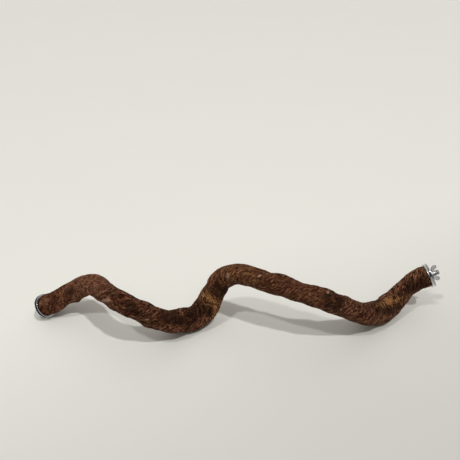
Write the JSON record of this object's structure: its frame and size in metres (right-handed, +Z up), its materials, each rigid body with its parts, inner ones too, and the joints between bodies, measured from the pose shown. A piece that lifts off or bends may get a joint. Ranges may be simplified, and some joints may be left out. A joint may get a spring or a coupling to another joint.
{
  "type": "vine wood perch",
  "caption": "Naturally twisted vine stem perch with a threaded stud, wide flat washers and a wing nut at each cut end, which clamp it to the bars of a bird cage.",
  "frame": {"origin": "on the surface that the perch lies on, under the middle of its overall box", "axes": "+X along the perch from its left cut end to its right one, +Y away from the viewer, +Z up"},
  "size_m": [0.4698, 0.0866, 0.0762],
  "materials": {
    "bark": "matt, dark reddish brown bark with fine winding fibres",
    "zinc": "bright zinc plating"
  },
  "bodies": {
    "perch": {"vine_stem": "bark", "left_stud": "zinc", "left_inner_washer": "zinc", "right_stud": "zinc", "right_inner_washer": "zinc"},
    "left_washer": {"left_outer_washer": "zinc"},
    "left_nut": {"left_wing_nut": "zinc"},
    "right_washer": {"right_outer_washer": "zinc"},
    "right_nut": {"right_wing_nut": "zinc"}
  },
  "joints": [
    {"name": "left_washer_slide", "type": "slide", "parent": "perch", "child": "left_washer", "axis": [-0.8651, 0.06, -0.498], "range_m": [-0.00172, 0.00401]},
    {"name": "left_nut_turn", "type": "hinge", "parent": "left_washer", "child": "left_nut", "pos_m": [-0.2192, 0.0112, 0.01421], "axis": [-0.8651, 0.06, -0.498], "range_deg": [-612, 1440]},
    {"name": "right_washer_slide", "type": "slide", "parent": "perch", "child": "right_washer", "axis": [0.901, 0.05, 0.431], "range_m": [-0.00172, 0.00401]},
    {"name": "right_nut_turn", "type": "hinge", "parent": "right_washer", "child": "right_nut", "pos_m": [0.22, 0.03, 0.04201], "axis": [0.901, 0.05, 0.431], "range_deg": [-612, 1440]}
  ],
  "couplings": [
    {"joint": "left_washer_slide", "follows": "left_nut_turn", "m_per_rad": 0.00015915},
    {"joint": "right_washer_slide", "follows": "right_nut_turn", "m_per_rad": 0.00015915}
  ]
}
